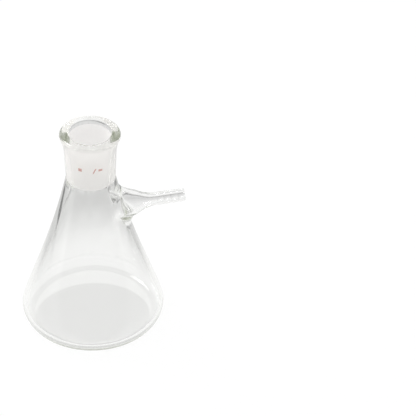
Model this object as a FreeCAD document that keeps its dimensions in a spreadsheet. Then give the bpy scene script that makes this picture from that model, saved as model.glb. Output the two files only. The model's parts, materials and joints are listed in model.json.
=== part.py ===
import FreeCAD, Part
import math
import os

import Sketcher
from FreeCAD import Vector

# Filter flask: one piece of heavy-wall glass, in millimetres.
# The foot stands on Z = 0, the flask's axis is Z, and the side arm points to +X.

# Driving sizes. Heights and lengths are real sizes, angles are in degrees.
sizes = [
    ("base_diameter", 105.0, "widest part of the body, at the heel"),
    ("heel_radius", 9.6, "outside round between the foot and the wall"),
    ("foot_width", 3.0, "flat ring that the flask stands on"),
    ("push_up", 1.4, "height of the hollow under the base, on the axis"),
    ("floor_thickness", 3.8, "glass in the base"),
    ("wall", 3.7, "glass in the conical wall"),
    ("cone_top", 59.0, "height where the straight wall begins to sweep up"),
    ("sweep_radius", 540.0, "long hollow curve of the upper wall"),
    ("body_height", 126.0, "foot to the bottom of the socket"),
    ("shoulder_radius", 10.0, "hollow curve where the body meets the socket"),
    ("neck_diameter", 35.1, "outside of the socket at its bottom"),
    ("neck_taper", 2.1, "lean of the outside of the socket"),
    ("neck_length", 36.2, "bottom of the socket to the top of the lip"),
    ("flare_radius", 34.0, "hollow curve under the lip"),
    ("lip_diameter", 42.6, "outside of the lip"),
    ("lip_thickness", 6.5, "glass in the lip, at its top"),
    ("lip_round", 2.2, "outer round of the lip"),
    ("lip_inner_round", 0.9, "inner round of the lip"),
    ("ground_diameter", 29.2, "wide end of the ground bore"),
    ("ground_length", 38.0, "length of the ground bore"),
    ("ground_rate", 0.1, "taper of the ground bore on the diameter"),
    ("ground_depth", 2.1, "top of the lip down to the ground bore"),
    ("arm_drop", 30.5, "bottom of the socket down to the arm, on the flask's axis"),
    ("arm_tilt", 7.2, "rise of the arm above the level"),
    ("arm_reach", 67.4, "flask's axis to the end of the arm"),
    ("arm_diameter", 9.0, "outside of the plain tube"),
    ("arm_bore", 4.4, "bore of the plain tube"),
    ("root_reach", 33.5, "flask's axis to the wide end of the arm's trumpet"),
    ("root_diameter", 16.4, "outside of the trumpet's wide end"),
    ("root_bore", 11.0, "inside of the trumpet's wide end"),
    ("root_angle", 21.0, "spread of the cone between the trumpet and the wall"),
    ("root_start", 10.0, "flask's axis to the hidden start of that cone"),
    ("plain_tube", 0.8, "plain tube between the trumpet and the first ring"),
    ("tip_diameter", 8.3, "outside of the arm at its end"),
    ("weld_radius", 9.0, "outside round where the arm joins the wall"),
    ("throat_radius", 3.0, "inside round where the arm opens into the body"),
    ("barb_count", 4, "rings that hold the hose"),
    ("barb_pitch", 5.0, "from one ring to the next"),
    ("barb_height", 0.55, "height of a ring above the hollow beside it"),
    ("barb_rise", 1.1, "length of a ring's steep side"),
    ("barb_round", 0.7, "round on the crest of a ring"),
    ("tip_round", 1.0, "fire-polished round outside the end of the arm"),
    ("tip_bore_round", 0.6, "fire-polished round inside the end of the arm"),
]

doc = FreeCAD.newDocument("filter_flask")
sheet = doc.addObject("Spreadsheet::Sheet", "Sizes")
for row, (name, value, note) in enumerate(sizes, start=1):
    sheet.set("A%d" % row, name)
    sheet.set("B%d" % row, str(value))
    sheet.set("C%d" % row, note)
    sheet.setAlias("B%d" % row, name)
doc.recompute()

size = {name: float(sheet.get(name)) for name, value, note in sizes}

body = doc.addObject("PartDesign::Body", "filter_flask")
body.Label = "filter_flask"
plane = {f.Role: f for f in body.Origin.OriginFeatures}


# Sketch helpers

# Numbers by which a sketch names the points of a curve, its own origin and its axes.
start_id, end_id, centre_id = 1, 2, 3
origin_ids = (-1, 1)
level_id, upright_id = -1, -2

# Ends of a piece of a chain, in the order in which the chain runs through it.
forward = (start_id, end_id)
backward = (end_id, start_id)


def new_sketch(name, role):
    sketch = body.newObject("Sketcher::SketchObject", name)
    sketch.AttachmentSupport = [(plane[role], "")]
    sketch.MapMode = "FlatFace"
    return sketch


def line(start, end):
    return Part.LineSegment(Vector(start[0], start[1], 0), Vector(end[0], end[1], 0))


def arc(centre, radius, low, high):
    """Arc that runs anticlockwise from the angle low to the angle high, in radians."""
    circle = Part.Circle(Vector(centre[0], centre[1], 0), Vector(0, 0, 1), radius)
    return Part.ArcOfCircle(circle, low, high)


def add_chain(sketch, pieces):
    """Adds a closed chain of (curve, ends, how it joins the next piece)."""
    for curve, ends, joint in pieces:
        sketch.addGeometry(curve, False)
    count = len(pieces)
    for i, (curve, ends, joint) in enumerate(pieces):
        after = (i + 1) % count
        sketch.addConstraint(Sketcher.Constraint(joint, i, ends[1], after, pieces[after][1][0]))


def bind(sketch, kind, where, value, formula):
    """Adds a dimension and ties it to a formula of the driving sizes."""
    index = sketch.addConstraint(Sketcher.Constraint(kind, *where, value))
    sketch.setExpression("Constraints[%d]" % index, formula)


# Values that several profiles share, each worked out from the driving sizes

taper = math.radians(size["neck_taper"])
heel_x = size["base_diameter"] / 2 - size["heel_radius"]
foot_x = heel_x - size["foot_width"]
full_height = size["body_height"] + size["neck_length"]

heel_x_formula = "Sizes.base_diameter / 2 - Sizes.heel_radius"
foot_x_formula = heel_x_formula + " - Sizes.foot_width"
full_height_formula = "Sizes.body_height + Sizes.neck_length"


def base_dome(height):
    """Arc over the hollow base whose rim lies at the given height."""
    rise = size["push_up"]
    radius = (foot_x ** 2 + rise ** 2) / (2 * rise)
    start = math.pi / 2 - math.asin(foot_x / radius)
    return arc((0, height + rise - radius), radius, start, math.pi / 2)


def bind_base_dome(sketch, index, height, height_formula):
    """Holds the dome on the axis, with its rim at the given height."""
    sketch.addConstraint(Sketcher.Constraint("PointOnObject", index, centre_id, upright_id))
    sketch.addConstraint(Sketcher.Constraint("PointOnObject", index, end_id, upright_id))
    bind(sketch, "DistanceY", (*origin_ids, index, end_id), height + size["push_up"],
         height_formula + " + Sizes.push_up")
    bind(sketch, "DistanceX", (*origin_ids, index, start_id), foot_x, foot_x_formula)


# Outside of the flask, turned about the flask's axis. The section lies square to the arm,
# so that the seam of the turned wall stays clear of the weld.

outline = new_sketch("Outline", "YZ_Plane")

neck_start = (size["neck_diameter"] / 2, size["body_height"])
shoulder = (neck_start[0] + size["shoulder_radius"] * math.cos(taper),
            neck_start[1] - size["shoulder_radius"] * math.sin(taper))


def straight_wall(heel_z, heel_radius, angle):
    """Ends of the straight wall that leaves a heel at an angle from the upright."""
    low = (heel_x + heel_radius * math.cos(angle), heel_z + heel_radius * math.sin(angle))
    high = (low[0] - (size["cone_top"] - low[1]) * math.tan(angle), size["cone_top"])
    return low, high


def sweep_centre(angle):
    """Centre of the long curve that goes on from the straight wall."""
    low, high = straight_wall(size["heel_radius"], size["heel_radius"], angle)
    return (high[0] + size["sweep_radius"] * math.cos(angle),
            high[1] + size["sweep_radius"] * math.sin(angle))


# The wall leans so far that its long curve just touches the shoulder curve. The lean is
# found by halving the range in which it lies.
lean, steepest = 0.0, math.pi / 4
halvings = 50
for _ in range(halvings):
    middle = (lean + steepest) / 2
    apart = math.dist(sweep_centre(middle), shoulder)
    if apart > size["sweep_radius"] - size["shoulder_radius"]:
        lean = middle
    else:
        steepest = middle
heel_end, cone_end = straight_wall(size["heel_radius"], size["heel_radius"], lean)
sweep = sweep_centre(lean)
sweep_end_angle = math.atan2(sweep[1] - shoulder[1], sweep[0] - shoulder[0])

# The flare touches the outside of the socket and the round of the lip.
lip_centre = (size["lip_diameter"] / 2 - size["lip_round"], full_height - size["lip_round"])
offset_x = neck_start[0] + size["flare_radius"] * math.cos(taper) - lip_centre[0]
offset_z = neck_start[1] - size["flare_radius"] * math.sin(taper) - lip_centre[1]
reach = size["flare_radius"] + size["lip_round"]
half_sum = offset_x * math.sin(taper) + offset_z * math.cos(taper)
straight = -half_sum - math.sqrt(half_sum ** 2 - offset_x ** 2 - offset_z ** 2 + reach ** 2)
flare_start = (neck_start[0] + straight * math.sin(taper),
               neck_start[1] + straight * math.cos(taper))
flare = (flare_start[0] + size["flare_radius"] * math.cos(taper),
         flare_start[1] - size["flare_radius"] * math.sin(taper))
flare_end_angle = math.atan2(lip_centre[1] - flare[1], flare[0] - lip_centre[0])

add_chain(outline, [
    (base_dome(0), backward, "Coincident"),
    (line((foot_x, 0), (heel_x, 0)), forward, "Tangent"),
    (arc((heel_x, size["heel_radius"]), size["heel_radius"], -math.pi / 2, lean),
     forward, "Tangent"),
    (line(heel_end, cone_end), forward, "Tangent"),
    (arc(sweep, size["sweep_radius"], math.pi + sweep_end_angle, math.pi + lean), backward, "Tangent"),
    (arc(shoulder, size["shoulder_radius"], math.pi - taper, math.pi + sweep_end_angle),
     backward, "Tangent"),
    (line(neck_start, flare_start), forward, "Tangent"),
    (arc(flare, size["flare_radius"], math.pi - flare_end_angle, math.pi - taper),
     backward, "Tangent"),
    (arc(lip_centre, size["lip_round"], -flare_end_angle, math.pi / 2), forward, "Tangent"),
    (line((lip_centre[0], full_height), (0, full_height)), forward, "Coincident"),
    (line((0, full_height), (0, size["push_up"])), forward, "Coincident"),
])
dome, foot, heel, cone, sweep_arc, shoulder_arc, neck, flare_arc, lip_arc, top, axis = range(11)

bind_base_dome(outline, dome, 0, "0")
outline.addConstraint(Sketcher.Constraint("PointOnObject", foot, start_id, level_id))
outline.addConstraint(Sketcher.Constraint("Horizontal", foot))
bind(outline, "DistanceX", (*origin_ids, heel, centre_id), heel_x, heel_x_formula)
bind(outline, "Radius", (heel,), size["heel_radius"], "Sizes.heel_radius")
bind(outline, "DistanceY", (*origin_ids, cone, end_id), size["cone_top"], "Sizes.cone_top")
bind(outline, "Radius", (sweep_arc,), size["sweep_radius"], "Sizes.sweep_radius")
lean_index = outline.addConstraint(
    Sketcher.Constraint("Angle", upright_id, start_id, cone, start_id, lean))
outline.setDriving(lean_index, False)
outline.renameConstraint(lean_index, "lean")
bind(outline, "Radius", (shoulder_arc,), size["shoulder_radius"], "Sizes.shoulder_radius")
bind(outline, "DistanceX", (*origin_ids, neck, start_id), neck_start[0],
     "Sizes.neck_diameter / 2")
bind(outline, "DistanceY", (*origin_ids, neck, start_id), neck_start[1], "Sizes.body_height")
bind(outline, "Angle", (neck, start_id, upright_id, start_id), taper, "Sizes.neck_taper * 1 deg")
bind(outline, "Radius", (flare_arc,), size["flare_radius"], "Sizes.flare_radius")
bind(outline, "Radius", (lip_arc,), size["lip_round"], "Sizes.lip_round")
bind(outline, "DistanceX", (*origin_ids, lip_arc, centre_id), lip_centre[0],
     "Sizes.lip_diameter / 2 - Sizes.lip_round")
outline.addConstraint(Sketcher.Constraint("Horizontal", top))
bind(outline, "DistanceY", (*origin_ids, top, end_id), full_height, full_height_formula)
outline.addConstraint(Sketcher.Constraint("Vertical", axis))
doc.recompute()


# Cavity, cut by turning its section about the same axis

cavity = new_sketch("Cavity", "YZ_Plane")

inner_heel = size["heel_radius"] - size["wall"]
inner_heel_z = size["floor_thickness"] + inner_heel
inner_heel_end, inner_cone_end = straight_wall(inner_heel_z, inner_heel, lean)
ground_top = (size["ground_diameter"] / 2, full_height - size["ground_depth"])
ground_end = (ground_top[0] - size["ground_length"] * size["ground_rate"] / 2,
              ground_top[1] - size["ground_length"])
mouth_x = size["lip_diameter"] / 2 - size["lip_thickness"]

# The inner sweep touches the inner straight wall and ends at the ground bore.
gap_x = inner_cone_end[0] - ground_end[0]
gap_z = inner_cone_end[1] - ground_end[1]
inner_sweep_radius = (-(gap_x ** 2 + gap_z ** 2)
                      / (2 * (gap_x * math.cos(lean) + gap_z * math.sin(lean))))
inner_sweep = (inner_cone_end[0] + inner_sweep_radius * math.cos(lean),
               inner_cone_end[1] + inner_sweep_radius * math.sin(lean))
inner_sweep_end_angle = math.atan2(inner_sweep[1] - ground_end[1],
                                   inner_sweep[0] - ground_end[0])

add_chain(cavity, [
    (base_dome(size["floor_thickness"]), backward, "Coincident"),
    (line((foot_x, size["floor_thickness"]), (heel_x, size["floor_thickness"])),
     forward, "Tangent"),
    (arc((heel_x, inner_heel_z), inner_heel, -math.pi / 2, lean), forward, "Tangent"),
    (line(inner_heel_end, inner_cone_end), forward, "Tangent"),
    (arc(inner_sweep, inner_sweep_radius, math.pi + inner_sweep_end_angle, math.pi + lean),
     backward, "Coincident"),
    (line(ground_end, ground_top), forward, "Coincident"),
    (line(ground_top, (mouth_x, full_height)), forward, "Coincident"),
    (line((mouth_x, full_height), (0, full_height)), forward, "Coincident"),
    (line((0, full_height), (0, size["floor_thickness"] + size["push_up"])),
     forward, "Coincident"),
])
dome, floor, heel, cone, sweep_arc, ground, funnel, top, axis = range(9)

bind_base_dome(cavity, dome, size["floor_thickness"], "Sizes.floor_thickness")
bind(cavity, "DistanceY", (*origin_ids, floor, start_id), size["floor_thickness"],
     "Sizes.floor_thickness")
cavity.addConstraint(Sketcher.Constraint("Horizontal", floor))
bind(cavity, "DistanceX", (*origin_ids, heel, centre_id), heel_x, heel_x_formula)
bind(cavity, "Radius", (heel,), inner_heel, "Sizes.heel_radius - Sizes.wall")
bind(cavity, "Angle", (upright_id, start_id, cone, start_id), lean, "Outline.Constraints.lean")
bind(cavity, "DistanceY", (*origin_ids, cone, end_id), size["cone_top"], "Sizes.cone_top")
bind(cavity, "DistanceX", (*origin_ids, ground, start_id), ground_end[0],
     "(Sizes.ground_diameter - Sizes.ground_length * Sizes.ground_rate) / 2")
bind(cavity, "DistanceY", (*origin_ids, ground, start_id), ground_end[1],
     full_height_formula + " - Sizes.ground_depth - Sizes.ground_length")
bind(cavity, "DistanceX", (*origin_ids, ground, end_id), ground_top[0],
     "Sizes.ground_diameter / 2")
bind(cavity, "DistanceY", (*origin_ids, ground, end_id), ground_top[1],
     full_height_formula + " - Sizes.ground_depth")
bind(cavity, "DistanceX", (*origin_ids, funnel, end_id), mouth_x,
     "Sizes.lip_diameter / 2 - Sizes.lip_thickness")
bind(cavity, "DistanceY", (*origin_ids, funnel, end_id), full_height, full_height_formula)
cavity.addConstraint(Sketcher.Constraint("Horizontal", top))
cavity.addConstraint(Sketcher.Constraint("Vertical", axis))


# Side arm. Its sketches lie on the upright plane through the arm, raised and tilted, so
# that their level axis is the arm's axis.

def new_arm_sketch(name):
    sketch = new_sketch(name, "XZ_Plane")
    sketch.setExpression("AttachmentOffset.Base.y", "Sizes.body_height - Sizes.arm_drop")
    sketch.setExpression("AttachmentOffset.Rotation.Angle", "Sizes.arm_tilt * 1 deg")
    return sketch


def bind_corner(sketch, index, point, place, formulas):
    """Holds a corner of a profile at its place along the arm and out from the arm's axis."""
    bind(sketch, "DistanceX", (*origin_ids, index, point), place[0], formulas[0])
    bind(sketch, "DistanceY", (*origin_ids, index, point), place[1], formulas[1])


barbs = int(size["barb_count"])
hose_start = size["arm_reach"] - barbs * size["barb_pitch"]
narrowing = (size["arm_diameter"] - size["tip_diameter"]) / 2
trumpet_end = hose_start - size["plain_tube"]
trumpet_end_formula = ("Sizes.arm_reach - Sizes.barb_count * Sizes.barb_pitch"
                       " - Sizes.plain_tube")
root_spread = math.tan(math.radians(size["root_angle"]))


def add_arm_profile(sketch, wide, wide_formula, narrow, narrow_formula, rest):
    """Half section of the arm: a root cone, a trumpet arc, a narrow tube and the rest."""
    length = trumpet_end - size["root_reach"]
    fall = wide - narrow
    radius = (length ** 2 + fall ** 2) / (2 * fall)
    centre = (trumpet_end, narrow + radius)
    start = math.atan2(wide - centre[1], size["root_reach"] - centre[0])
    start_radius = wide + (size["root_reach"] - size["root_start"]) * root_spread
    start_formula = (wide_formula + " + (Sizes.root_reach - Sizes.root_start)"
                     " * tan(Sizes.root_angle * 1 deg)")
    corners = [
        ((size["root_start"], start_radius), ("Sizes.root_start", start_formula)),
        ((size["root_reach"], wide), ("Sizes.root_reach", wide_formula)),
        ((trumpet_end, narrow), (trumpet_end_formula, narrow_formula)),
    ] + rest
    places = [(size["root_start"], 0)] + [place for place, formulas in corners]
    pieces = [(line(low, high), forward, "Coincident")
              for low, high in zip(places, places[1:] + places[:1])]
    trumpet = 2
    pieces[trumpet] = (arc(centre, radius, start, -math.pi / 2), forward, "Tangent")
    add_chain(sketch, pieces)
    bind_corner(sketch, 0, start_id, places[0], ("Sizes.root_start", "0"))
    for i, (place, formulas) in enumerate(corners):
        bind_corner(sketch, i, end_id, place, formulas)


arm = new_arm_sketch("Arm")

# Corners of the ringed tube, as pairs of a place and the formulas that hold it there.
rings = []
for i in range(barbs + 1):
    share = i / barbs
    hollow = (hose_start + i * size["barb_pitch"],
              size["arm_diameter"] / 2 - narrowing * share)
    hollow_formulas = (
        "Sizes.arm_reach - (Sizes.barb_count - %d) * Sizes.barb_pitch" % i,
        "Sizes.arm_diameter / 2 - (Sizes.arm_diameter - Sizes.tip_diameter) / 2 * %d"
        " / Sizes.barb_count" % i)
    rings.append((hollow, hollow_formulas))
    if i < barbs:
        crest = (hollow[0] + size["barb_rise"], hollow[1] + size["barb_height"])
        rings.append((crest, (hollow_formulas[0] + " + Sizes.barb_rise",
                              hollow_formulas[1] + " + Sizes.barb_height")))
rings.append(((size["arm_reach"], 0), ("Sizes.arm_reach", "0")))

add_arm_profile(arm, size["root_diameter"] / 2, "Sizes.root_diameter / 2",
                size["arm_diameter"] / 2, "Sizes.arm_diameter / 2", rings)

bore = new_arm_sketch("ArmBore")
add_arm_profile(bore, size["root_bore"] / 2, "Sizes.root_bore / 2",
                size["arm_bore"] / 2, "Sizes.arm_bore / 2", [
    ((size["arm_reach"], size["arm_bore"] / 2), ("Sizes.arm_reach", "Sizes.arm_bore / 2")),
    ((size["arm_reach"], 0), ("Sizes.arm_reach", "0")),
])
doc.recompute()


# Features, in the order in which the glass is worked

def turn(kind, name, sketch, axis_name):
    """Turns a sketch full circle, as added or cut glass."""
    feature = body.newObject(kind, name)
    feature.Profile = sketch
    feature.ReferenceAxis = (sketch, [axis_name])
    feature.Angle = 360
    doc.recompute()
    return feature


tilt = math.radians(size["arm_tilt"])
arm_root = Vector(0, 0, size["body_height"] - size["arm_drop"])
arm_axis = Vector(math.cos(tilt), 0, math.sin(tilt))
tolerance = 0.001


def arm_place(point):
    """Place of a point along the arm and its distance out from the arm's axis."""
    away = point - arm_root
    along_arm = away.dot(arm_axis)
    return along_arm, (away - arm_axis * along_arm).Length


def edges_where(feature, test):
    """Names of the feature's edges that pass the test at each of a few points."""
    names = []
    for i, edge in enumerate(feature.Shape.Edges, start=1):
        if not edge.Degenerated and all(test(point) for point in edge.discretize(Number=5)):
            names.append("Edge%d" % i)
    return names


def on_arm(radius, place):
    """Test for points at a radius from the arm's axis and at a place along it."""
    def test(point):
        along_arm, out = arm_place(point)
        return abs(out - radius) < tolerance and abs(along_arm - place) < tolerance
    return test


def on_root_cone(wide):
    """Test for points on the cone that widens from the trumpet's wide end to the wall."""
    def test(point):
        along_arm, out = arm_place(point)
        back = size["root_reach"] - along_arm
        return back > tolerance and abs(out - wide - back * root_spread) < tolerance
    return test


def on_ring(radius, height):
    """Test for points at a radius from the flask's axis and at a height."""
    def test(point):
        out = math.hypot(point.x, point.y)
        return abs(out - radius) < tolerance and abs(point.z - height) < tolerance
    return test


def round_edges(name, feature, test, radius_formula):
    """Rounds the feature's edges that pass the test."""
    names = edges_where(feature, test)
    if not names:
        raise RuntimeError(name + " finds no edge")
    fillet = body.newObject("PartDesign::Fillet", name)
    fillet.Base = (feature, names)
    fillet.setExpression("Radius", radius_formula)
    doc.recompute()
    return fillet


turn("PartDesign::Revolution", "Blank", outline, "V_Axis")
tube = turn("PartDesign::Revolution", "Tube", arm, "H_Axis")
round_edges("Weld", tube, on_root_cone(size["root_diameter"] / 2), "Sizes.weld_radius")
turn("PartDesign::Groove", "Hollow", cavity, "V_Axis")
arm_bore = turn("PartDesign::Groove", "Bore", bore, "H_Axis")
throat = round_edges("Throat", arm_bore, on_root_cone(size["root_bore"] / 2),
                     "Sizes.throat_radius")
last = round_edges("Lip", throat, on_ring(mouth_x, full_height), "Sizes.lip_inner_round")
for i in range(barbs):
    place = hose_start + i * size["barb_pitch"] + size["barb_rise"]
    out = size["arm_diameter"] / 2 - narrowing * i / barbs + size["barb_height"]
    last = round_edges("Barb%d" % (i + 1), last, on_arm(out, place), "Sizes.barb_round")
last = round_edges("TipOutside", last, on_arm(size["tip_diameter"] / 2, size["arm_reach"]),
                   "Sizes.tip_round")
last = round_edges("TipInside", last, on_arm(size["arm_bore"] / 2, size["arm_reach"]),
                   "Sizes.tip_bore_round")
body.Tip = last
doc.recompute()


# Checks and the file

failed = [thing.Name for thing in doc.Objects
          if "Invalid" in thing.State or "Error" in thing.State]
if failed:
    raise RuntimeError("failed: " + ", ".join(failed))
if body.Shape.isNull() or not body.Shape.isValid() or len(body.Shape.Solids) != 1:
    raise RuntimeError("the flask is not one valid solid")

os.makedirs("parts", exist_ok=True)
body.Shape.exportStep(os.path.join("parts", body.Label + ".step"))

box = body.Shape.optimalBoundingBox()
print("size %.1f x %.1f x %.1f mm" % (box.XLength, box.YLength, box.ZLength))
print("glass %.1f cm3" % (body.Shape.Volume / 1000))
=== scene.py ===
import json
import math

import bpy
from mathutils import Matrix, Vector

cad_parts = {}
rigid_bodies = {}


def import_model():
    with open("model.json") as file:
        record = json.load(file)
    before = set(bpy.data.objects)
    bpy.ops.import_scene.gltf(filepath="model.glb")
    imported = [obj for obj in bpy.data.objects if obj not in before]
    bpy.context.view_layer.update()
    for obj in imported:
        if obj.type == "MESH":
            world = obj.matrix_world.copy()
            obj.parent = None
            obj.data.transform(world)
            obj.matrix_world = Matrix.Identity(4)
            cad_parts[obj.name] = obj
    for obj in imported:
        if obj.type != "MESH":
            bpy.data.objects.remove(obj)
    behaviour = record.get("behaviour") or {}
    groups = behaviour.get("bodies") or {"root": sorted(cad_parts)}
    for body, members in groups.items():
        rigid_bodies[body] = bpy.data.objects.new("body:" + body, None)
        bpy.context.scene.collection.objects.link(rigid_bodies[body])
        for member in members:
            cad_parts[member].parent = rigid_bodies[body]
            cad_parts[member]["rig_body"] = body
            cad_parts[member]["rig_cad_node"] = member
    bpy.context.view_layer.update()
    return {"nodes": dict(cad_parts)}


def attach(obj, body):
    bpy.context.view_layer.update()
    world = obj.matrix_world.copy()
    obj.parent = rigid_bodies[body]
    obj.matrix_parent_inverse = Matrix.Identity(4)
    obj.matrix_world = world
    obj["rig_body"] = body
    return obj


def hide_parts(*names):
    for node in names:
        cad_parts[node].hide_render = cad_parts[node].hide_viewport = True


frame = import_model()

mm = 0.001
scene = bpy.context.scene
print("frame loaded")


# Camera: a long lens that stands a little to the left of the front and looks down at the flask

camera = {
    "azimuth": math.radians(8.0),      # turned so that the arm leans a little away
    "elevation": math.radians(38.28),
    "roll": math.radians(2.11),
    "distance": 1198.8 * mm,           # from the lens to the foot, along the view
    "pixelsPerMetre": 1329.9,          # scale at the foot
    "footPixel": (93.52, 307.69),      # where the centre of the foot falls
    "frameSide": 416,                  # pixels
    "sensor": 36.0,                    # millimetres
}


def addCamera(c):
    azimuth, elevation, roll = c["azimuth"], c["elevation"], c["roll"]
    level = math.cos(elevation)
    ahead = Vector((math.sin(azimuth) * level, math.cos(azimuth) * level, -math.sin(elevation)))
    sideways = Vector((math.cos(azimuth), -math.sin(azimuth), 0))
    over = sideways.cross(ahead)
    right = sideways * math.cos(roll) + over * math.sin(roll)
    up = over * math.cos(roll) - sideways * math.sin(roll)
    middle = c["frameSide"] / 2
    across = (c["footPixel"][0] - middle) / c["pixelsPerMetre"]
    down = (c["footPixel"][1] - middle) / c["pixelsPerMetre"]
    place = -(across * right - down * up + c["distance"] * ahead)
    lens = bpy.data.cameras.new("camera")
    lens.sensor_width = c["sensor"]
    lens.lens = c["pixelsPerMetre"] * c["distance"] * c["sensor"] / c["frameSide"]
    eye = bpy.data.objects.new("camera", lens)
    scene.collection.objects.link(eye)
    for column, axis in enumerate((right, up, -ahead, place)):
        for row, value in enumerate(axis):
            eye.matrix_world[row][column] = value
    scene.camera = eye


addCamera(camera)
print("camera placed")


# Glass body: the flask's solid, merged and smoothed

glass = {
    "smoothAngle": math.radians(28),
    "mergeDistance": 0.002 * mm,
    "ior": 1.473,
    "colour": (0.997, 0.997, 0.997, 1),
    "tint": (0.66, 0.68, 0.60, 1),     # colour in the depth of the glass
    "density": 18.0,                   # per metre
    "straightShare": (0.985, 0.985, 0.985, 1),   # kept at each surface where light goes straight on
    "deepest": 4.0,                    # bounces, after which light goes straight on
    "groundRoughness": 0.55,
    "groundClear": 0.3,                # share of the ground zone that still lets light through
    "groundColour": (1.0, 0.978, 0.968, 1),
    "groundLow": 122.1 * mm,
    "groundHigh": 158.8 * mm,
    "groundOuter": 15.2 * mm,          # radius, between the bore and the outside of the neck
}


def selectOnly(piece):
    bpy.ops.object.select_all(action="DESELECT")
    piece.select_set(True)
    bpy.context.view_layer.objects.active = piece


def newMaterial(name):
    material = bpy.data.materials.new(name)
    material.use_nodes = True
    return material, material.node_tree.nodes, material.node_tree.links


def mathNode(tree, operation, *values):
    node = tree.nodes.new("ShaderNodeMath")
    node.operation = operation
    for socket, value in zip(node.inputs, values):
        if isinstance(value, (int, float)):
            socket.default_value = value
        else:
            tree.links.new(value, socket)
    return node.outputs[0]


def mixColour(tree, share, first, second):
    node = tree.nodes.new("ShaderNodeMix")
    node.data_type = "RGBA"
    tree.links.new(share, node.inputs["Factor"])
    for socket, value in zip((s for s in node.inputs if s.type == "RGBA"), (first, second)):
        socket.default_value = value
    return next(s for s in node.outputs if s.type == "RGBA")


def mixShader(tree, share, first, second):
    node = tree.nodes.new("ShaderNodeMixShader")
    for socket, value in zip(node.inputs, (share, first, second)):
        tree.links.new(value, socket)
    return node.outputs[0]


def lengthOf(tree, vector):
    node = tree.nodes.new("ShaderNodeVectorMath")
    node.operation = "LENGTH"
    tree.links.new(vector, node.inputs[0])
    return node.outputs["Value"]


def objectPlace(tree):
    place = tree.nodes.new("ShaderNodeTexCoord").outputs["Object"]
    split = tree.nodes.new("ShaderNodeSeparateXYZ")
    tree.links.new(place, split.inputs[0])
    return place, split.outputs


def addGlassBody(g):
    selectOnly(frame["nodes"]["filter_flask"])
    bpy.ops.object.duplicate()
    piece = bpy.context.view_layer.objects.active
    piece.name = "glassBody"
    piece.data.name = "glassBody"
    for key in ("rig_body", "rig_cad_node"):     # the copy is a piece of its own
        if key in piece:
            del piece[key]
    piece.parent = None
    bpy.ops.object.mode_set(mode="EDIT")
    bpy.ops.mesh.select_all(action="SELECT")
    bpy.ops.mesh.remove_doubles(threshold=g["mergeDistance"])
    bpy.ops.object.mode_set(mode="OBJECT")
    bpy.ops.object.shade_smooth_by_angle(angle=g["smoothAngle"])
    return piece


def groundMask(tree, g):
    split = objectPlace(tree)[1]
    flat = tree.nodes.new("ShaderNodeCombineXYZ")
    for name in ("X", "Y"):
        tree.links.new(split[name], flat.inputs[name])
    inside = mathNode(tree, "LESS_THAN", lengthOf(tree, flat.outputs[0]), g["groundOuter"])
    above = mathNode(tree, "GREATER_THAN", split["Z"], g["groundLow"])
    below = mathNode(tree, "LESS_THAN", split["Z"], g["groundHigh"])
    return mathNode(tree, "MULTIPLY", mathNode(tree, "MULTIPLY", inside, above), below)


def glassMaterial(g):
    material, nodes, links = newMaterial("clearGlass")
    tree = material.node_tree
    nodes.clear()
    output = nodes.new("ShaderNodeOutputMaterial")
    shader = nodes.new("ShaderNodeBsdfPrincipled")
    shader.inputs["IOR"].default_value = g["ior"]
    volume = nodes.new("ShaderNodeVolumeAbsorption")
    volume.inputs["Color"].default_value = g["tint"]
    volume.inputs["Density"].default_value = g["density"]
    links.new(volume.outputs[0], output.inputs["Volume"])

    mask = groundMask(tree, g)
    links.new(mathNode(tree, "MULTIPLY", mask, g["groundRoughness"]), shader.inputs["Roughness"])
    cloudy = mathNode(tree, "MULTIPLY", mask, 1 - g["groundClear"])
    links.new(mathNode(tree, "SUBTRACT", 1.0, cloudy), shader.inputs["Transmission Weight"])
    links.new(mixColour(tree, mask, g["colour"], g["groundColour"]), shader.inputs["Base Color"])

    # lamps and soft light reach the floor through the glass, and no light is lost in the rim
    path = nodes.new("ShaderNodeLightPath")
    soft = mathNode(tree, "MAXIMUM", path.outputs["Is Shadow Ray"], path.outputs["Is Diffuse Ray"])
    deep = mathNode(tree, "GREATER_THAN", path.outputs["Ray Depth"], g["deepest"])
    straight = mathNode(tree, "MAXIMUM", soft, deep)
    clear = nodes.new("ShaderNodeBsdfTransparent")
    clear.inputs[0].default_value = g["straightShare"]
    mixed = mixShader(tree, straight, shader.outputs[0], clear.outputs[0])
    links.new(mixed, output.inputs["Surface"])
    return material


body = addGlassBody(glass)
body.data.materials.clear()
body.data.materials.append(glassMaterial(glass))
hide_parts("filter_flask")
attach(body, "root")
print("glass body ready")


# Print: small enamel marks on the front of the socket

marks = {
    "startRadius": 19.0 * mm,          # just in front of the wall, before they are wrapped on it
    "thickness": 0.04 * mm,
    "cuts": 9,                         # lets a mark follow the round wall
    "colour": (0.50, 0.20, 0.17, 1),
    "wornColour": (0.74, 0.55, 0.51, 1),
    "wornScale": 1600.0,
    "roughness": 0.45,
    # for each mark: degrees from the front, height, width and tallness in mm, and degrees of lean
    "places": (
        (-26.5, 142.2, 2.7, 2.5, 0),
        (5.5, 141.7, 0.9, 4.4, 28),
        (19.0, 141.9, 3.0, 1.7, 0),
    ),
}


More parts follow.
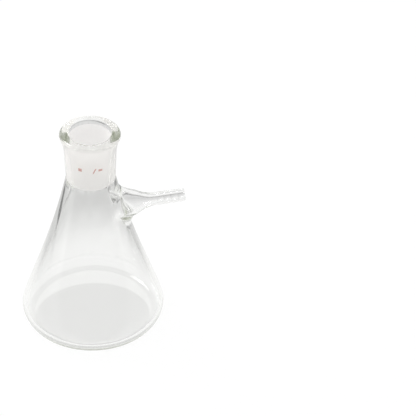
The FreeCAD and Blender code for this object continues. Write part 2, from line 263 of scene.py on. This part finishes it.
def addMark(m, turn, height, width, tallness, lean):
    angle = math.radians(turn)
    radius = m["startRadius"]
    bpy.ops.object.select_all(action="DESELECT")
    bpy.ops.mesh.primitive_plane_add(size=1, rotation=(math.pi / 2, 0, 0))     # upright, facing the front
    mark = bpy.context.view_layer.objects.active
    mark.scale = (width * mm, tallness * mm, 1)
    bpy.ops.object.transform_apply(location=False, rotation=True, scale=True)
    mark.rotation_euler = (0, math.radians(lean), 0)
    bpy.ops.object.transform_apply(location=False, rotation=True, scale=False)
    mark.rotation_euler = (0, 0, angle)
    mark.location = (radius * math.sin(angle), -radius * math.cos(angle), height * mm)
    bpy.ops.object.transform_apply(location=True, rotation=True, scale=False)
    bpy.ops.object.mode_set(mode="EDIT")
    bpy.ops.mesh.select_all(action="SELECT")
    bpy.ops.mesh.subdivide(number_cuts=m["cuts"])
    bpy.ops.object.mode_set(mode="OBJECT")
    wrap = mark.modifiers.new("wrap", "SHRINKWRAP")
    wrap.target = body
    wrap.offset = m["thickness"] / 2
    wall = mark.modifiers.new("wall", "SOLIDIFY")
    wall.thickness = m["thickness"]
    wall.offset = 1                    # grows outwards only
    for name in ("wrap", "wall"):
        bpy.ops.object.modifier_apply(modifier=name)
    return mark


def enamelMaterial(m):
    material, nodes, links = newMaterial("redBrownEnamel")
    shader = nodes["Principled BSDF"]
    shader.inputs["Roughness"].default_value = m["roughness"]
    place = nodes.new("ShaderNodeTexCoord")
    worn = nodes.new("ShaderNodeTexNoise")
    worn.inputs["Scale"].default_value = m["wornScale"]
    links.new(place.outputs["Object"], worn.inputs["Vector"])
    colour = mixColour(material.node_tree, worn.outputs["Fac"], m["colour"], m["wornColour"])
    links.new(colour, shader.inputs["Base Color"])
    return material


def addMarks(m):
    pieces = [addMark(m, *place) for place in m["places"]]
    socketPrint = pieces[0]
    selectOnly(socketPrint)
    for mark in pieces:
        mark.select_set(True)
    bpy.ops.object.join()
    socketPrint.name = "socketPrint"
    socketPrint.data.name = "socketPrint"
    socketPrint.data.materials.clear()
    socketPrint.data.materials.append(enamelMaterial(m))
    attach(socketPrint, "root")


addMarks(marks)
print("print on the socket ready")


# Floor: the eye sees it plain white, while gloss and glass see painted shade on it: grey rings, a darker
# front and an oval of shade under the base

floor = {
    "side": 6.0,
    "height": -0.1 * mm,
    "colour": (0.93, 0.93, 0.93, 1),
    "roughness": 1.0,
    "shine": 0.0,
    "white": 0.85,                     # share of plain white that the eye, gloss and glass see
    "rings": (
        {                              # painted shade ring that draws the heel in the glass
            "inner": (42 * mm, 44 * mm),         # radii between which the painted shade comes in
            "outer": (49 * mm, 51 * mm),         # radii between which it goes out
            "alongY": (-34 * mm, -8 * mm),       # from front to back, its depth changes here
            "depths": (0.30, 0.11),
        },
        {                              # painted shade ring that darkens the top of the body in the glass
            "inner": (70 * mm, 160 * mm),
            "outer": (300 * mm, 450 * mm),
            "alongY": (-100 * mm, 100 * mm),
            "depths": (0.39, 0.39),
        },
        {                              # painted shade ring that draws thin dark lines in the shoulder
            "inner": (206 * mm, 216 * mm),
            "outer": (236 * mm, 250 * mm),
            "alongY": (20 * mm, 100 * mm),
            "depths": (0.0, 0.85),
        },
    ),
    "frontStart": -60 * mm,            # from here to frontEnd painted shade darkens the floor towards the front, seen only in gloss and glass
    "frontEnd": -170 * mm,
    "frontPaintedShade": 0.25,
    "shadeCentre": (-1.0 * mm, -7.2 * mm, 0),    # oval of shade under the base, which draws the disc
    "shadeSide": 41.8 * mm,
    "shadeDepth": 34.2 * mm,
    "shadeEdge": 1.2 * mm,
    "shadeGrey": 0.85,
}


def fade(tree, value, start, end, first, second):
    node = tree.nodes.new("ShaderNodeMapRange")
    node.interpolation_type = "SMOOTHSTEP"
    tree.links.new(value, node.inputs["Value"])
    for name, number in (("From Min", start), ("From Max", end), ("To Min", first), ("To Max", second)):
        node.inputs[name].default_value = number
    return node.outputs["Result"]


# one ring of painted shade on the floor, which the glass shows
def paintedShadeRing(tree, radius, alongY, r):
    comesIn = fade(tree, radius, *r["inner"], 0.0, 1.0)
    goesOut = fade(tree, radius, *r["outer"], 1.0, 0.0)
    share = mathNode(tree, "MULTIPLY", comesIn, goesOut)
    depth = fade(tree, alongY, *r["alongY"], *r["depths"])
    return mathNode(tree, "SUBTRACT", 1.0, mathNode(tree, "MULTIPLY", share, depth))


def shadeStrength(tree, place, f):
    oval = tree.nodes.new("ShaderNodeMapping")
    oval.vector_type = "TEXTURE"
    oval.inputs["Location"].default_value = f["shadeCentre"]
    oval.inputs["Scale"].default_value = (f["shadeSide"], f["shadeDepth"], 1)
    tree.links.new(place, oval.inputs["Vector"])
    edge = f["shadeEdge"] / f["shadeSide"]
    return fade(tree, lengthOf(tree, oval.outputs[0]), 1 - edge, 1 + edge, f["shadeGrey"], 1.0)


def floorMaterial(f):
    material, nodes, links = newMaterial("paleFloorPaintedShade")
    tree = material.node_tree
    shader = nodes["Principled BSDF"]
    shader.inputs["Base Color"].default_value = f["colour"]
    shader.inputs["Roughness"].default_value = f["roughness"]
    shader.inputs["Specular IOR Level"].default_value = f["shine"]
    path = nodes.new("ShaderNodeLightPath")
    gloss = mathNode(tree, "MAXIMUM", path.outputs["Is Camera Ray"], path.outputs["Is Glossy Ray"])
    seen = mathNode(tree, "MAXIMUM", gloss, path.outputs["Is Transmission Ray"])
    place, split = objectPlace(tree)
    radius = lengthOf(tree, place)
    # painted shade that only gloss and glass see: grey rings, a darker front and the oval under the base;
    # the eye sees plain white
    front = fade(tree, split["Y"], f["frontEnd"], f["frontStart"], f["frontPaintedShade"], 1.0)
    paintedShadeStrength = 1.0
    for r in f["rings"]:
        paintedShadeStrength = mathNode(tree, "MULTIPLY", paintedShadeRing(tree, radius, split["Y"], r), paintedShadeStrength)
    paintedShadeStrength = mathNode(tree, "MINIMUM", paintedShadeStrength, front)
    paintedShadeStrength = mathNode(tree, "MULTIPLY", paintedShadeStrength, shadeStrength(tree, place, f))
    paintedShadeStrength = mathNode(tree, "MAXIMUM", paintedShadeStrength, path.outputs["Is Camera Ray"])
    white = nodes.new("ShaderNodeEmission")
    links.new(paintedShadeStrength, white.inputs["Strength"])
    share = mathNode(tree, "MULTIPLY", seen, f["white"])
    mixed = mixShader(tree, share, shader.outputs[0], white.outputs[0])
    links.new(mixed, nodes["Material Output"].inputs["Surface"])
    return material


def addFloor(f):
    bpy.ops.object.select_all(action="DESELECT")
    bpy.ops.mesh.primitive_plane_add(size=f["side"], location=(0, 0, f["height"]))
    plane = bpy.context.view_layer.objects.active
    plane.name = "floor"
    plane.data.materials.append(floorMaterial(f))


addFloor(floor)
print("floor ready")


# Sky: pale all round, and darker below the level

sky = {
    "heights": (-0.30, 0.0, 0.45, 0.60, 0.85, 0.97),     # from -1, straight down, to 1, straight up
    "greys": (0.35, 0.98, 0.96, 0.92, 0.92, 1.0),
    "front": 0.96,                     # share of that light in front, up to frontStart
    "frontStart": -0.6,
    "frontEnd": 0.1,                   # from here backwards all of it
}


def addSky(s):
    world = bpy.data.worlds.new("sky")
    world.use_nodes = True
    scene.world = world
    tree = world.node_tree
    background = tree.nodes["Background"]
    towards = tree.nodes.new("ShaderNodeTexCoord")
    split = tree.nodes.new("ShaderNodeSeparateXYZ")
    tree.links.new(towards.outputs["Generated"], split.inputs[0])
    half = 0.5                         # turns a height from -1 to 1 into the ramp's 0 to 1
    share = mathNode(tree, "MULTIPLY_ADD", split.outputs["Z"], half, half)
    steps = tree.nodes.new("ShaderNodeValToRGB")
    tree.links.new(share, steps.inputs[0])
    ramp = steps.color_ramp
    while len(ramp.elements) < len(s["heights"]):
        ramp.elements.new(half)
    for element, height, grey in zip(ramp.elements, s["heights"], s["greys"]):
        element.position = height * half + half
        element.color = (grey, grey, grey, 1)
    tree.links.new(steps.outputs[0], background.inputs["Color"])
    front = fade(tree, split.outputs["Y"], s["frontStart"], s["frontEnd"], s["front"], 1.0)
    tree.links.new(front, background.inputs["Strength"])


addSky(sky)
print("sky ready")


# Softbox: one small square lamp

softbox = {
    "power": 6.0,
    "size": 0.45,
    "place": (-0.62, 0.62, 1.15),      # left, behind and above
}


def addSoftbox(b):
    lamp = bpy.data.lights.new("softbox", "AREA")
    lamp.energy = b["power"]
    lamp.size = b["size"]
    light = bpy.data.objects.new("softbox", lamp)
    scene.collection.objects.link(light)
    light.location = b["place"]
    light.rotation_euler = Vector(b["place"]).to_track_quat("Z", "Y").to_euler()


addSoftbox(softbox)
scene.view_settings.view_transform = "Standard"
print("softbox ready")
